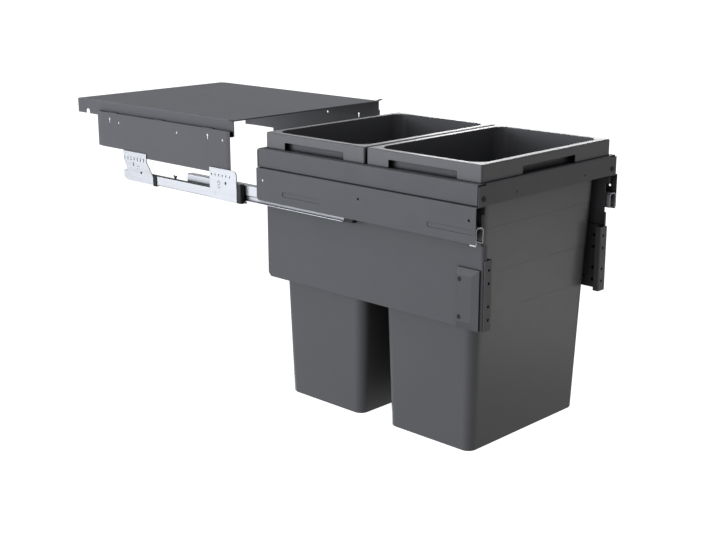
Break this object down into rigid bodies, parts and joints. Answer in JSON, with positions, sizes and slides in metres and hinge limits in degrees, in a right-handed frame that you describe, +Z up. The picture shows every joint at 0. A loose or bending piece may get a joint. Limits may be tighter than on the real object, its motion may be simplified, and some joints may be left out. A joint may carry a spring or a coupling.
{
  "type": "pull-out bin frame",
  "caption": "Pull-out carriage on telescopic roller slides that hangs lift-out bins behind a cabinet door, under a fixed shelf.",
  "frame": {"origin": "centre of the left front cabinet fixing hole, on the plane of the left cabinet wall", "axes": "+X from the left cabinet wall to the right one, +Y from the front into the cabinet, +Z up; the carriage is drawn pulled out"},
  "size_m": [0.412, 1.0676, 0.5115],
  "materials": {
    "carriage_paint": "satin anthracite powder coat",
    "shelf_paint": "satin anthracite powder coat",
    "cap_plastic": "matt anthracite",
    "bin_plastic": "fine-grained anthracite",
    "black_plastic": "matt black",
    "cage_plastic": "natural white",
    "zinc_steel": "bright zinc plate",
    "roller_steel": "ground",
    "screw_steel": "black zinc plate"
  },
  "bodies": {
    "cabinet_side": {"shelf": "shelf_paint", "rail_rivets": "zinc_steel", "left_side_plate": "shelf_paint", "right_side_plate": "shelf_paint", "left_shelf_clip": "black_plastic", "right_shelf_clip": "black_plastic", "left_front_bracket": "zinc_steel", "right_front_bracket": "zinc_steel", "left_rear_bracket": "zinc_steel", "right_rear_bracket": "zinc_steel", "left_cabinet_rail": "zinc_steel", "right_cabinet_rail": "zinc_steel", "left_glide_strip": "black_plastic", "right_glide_strip": "black_plastic", "left_rear_buffer": "black_plastic", "right_rear_buffer": "black_plastic", "left_front_guide": "black_plastic", "right_front_guide": "black_plastic"},
    "carriage": {"front_band": "carriage_paint", "rear_band": "carriage_paint", "cross_bar": "carriage_paint", "band_screws": "screw_steel", "cap_screws": "screw_steel", "left_band": "carriage_paint", "right_band": "carriage_paint", "left_side_panel": "carriage_paint", "right_side_panel": "carriage_paint", "left_door_bracket": "carriage_paint", "right_door_bracket": "carriage_paint", "left_bracket_cap": "cap_plastic", "right_bracket_cap": "cap_plastic", "left_slide_cover": "carriage_paint", "right_slide_cover": "carriage_paint", "left_carriage_rail": "zinc_steel", "right_carriage_rail": "zinc_steel"},
    "front_bin_body": {"front_bin": "bin_plastic"},
    "rear_bin_body": {"rear_bin": "bin_plastic"},
    "left_middle": {"left_middle_rail": "zinc_steel", "left_middle_stop": "black_plastic"},
    "left_lower_cage_set": {"left_lower_cage": "cage_plastic", "left_lower_rollers": "roller_steel"},
    "left_upper_cage_set": {"left_upper_cage": "cage_plastic", "left_upper_rollers": "roller_steel"},
    "right_middle": {"right_middle_rail": "zinc_steel", "right_middle_stop": "black_plastic"},
    "right_lower_cage_set": {"right_lower_cage": "cage_plastic", "right_lower_rollers": "roller_steel"},
    "right_upper_cage_set": {"right_upper_cage": "cage_plastic", "right_upper_rollers": "roller_steel"}
  },
  "joints": [
    {"name": "carriage_slide", "type": "slide", "parent": "cabinet_side", "child": "carriage", "axis": [0, 1, 0], "range_m": [0, 0.51]},
    {"name": "left_middle_slide", "type": "slide", "parent": "cabinet_side", "child": "left_middle", "axis": [0, 1, 0], "range_m": [0, 0.255]},
    {"name": "left_lower_cage_set_slide", "type": "slide", "parent": "cabinet_side", "child": "left_lower_cage_set", "axis": [0, 1, 0], "range_m": [0, 0.1275]},
    {"name": "left_upper_cage_set_slide", "type": "slide", "parent": "cabinet_side", "child": "left_upper_cage_set", "axis": [0, 1, 0], "range_m": [0, 0.3825]},
    {"name": "right_middle_slide", "type": "slide", "parent": "cabinet_side", "child": "right_middle", "axis": [0, 1, 0], "range_m": [0, 0.255]},
    {"name": "right_lower_cage_set_slide", "type": "slide", "parent": "cabinet_side", "child": "right_lower_cage_set", "axis": [0, 1, 0], "range_m": [0, 0.1275]},
    {"name": "right_upper_cage_set_slide", "type": "slide", "parent": "cabinet_side", "child": "right_upper_cage_set", "axis": [0, 1, 0], "range_m": [0, 0.3825]},
    {"name": "front_bin_lift", "type": "slide", "parent": "carriage", "child": "front_bin_body", "axis": [0, 0, 1], "range_m": [0, 0.012]},
    {"name": "rear_bin_lift", "type": "slide", "parent": "carriage", "child": "rear_bin_body", "axis": [0, 0, 1], "range_m": [0, 0.012]}
  ],
  "couplings": [
    {"joint": "left_middle_slide", "follows": "carriage_slide", "ratio": 0.5},
    {"joint": "left_lower_cage_set_slide", "follows": "carriage_slide", "ratio": 0.25},
    {"joint": "left_upper_cage_set_slide", "follows": "carriage_slide", "ratio": 0.75},
    {"joint": "right_middle_slide", "follows": "carriage_slide", "ratio": 0.5},
    {"joint": "right_lower_cage_set_slide", "follows": "carriage_slide", "ratio": 0.25},
    {"joint": "right_upper_cage_set_slide", "follows": "carriage_slide", "ratio": 0.75}
  ]
}
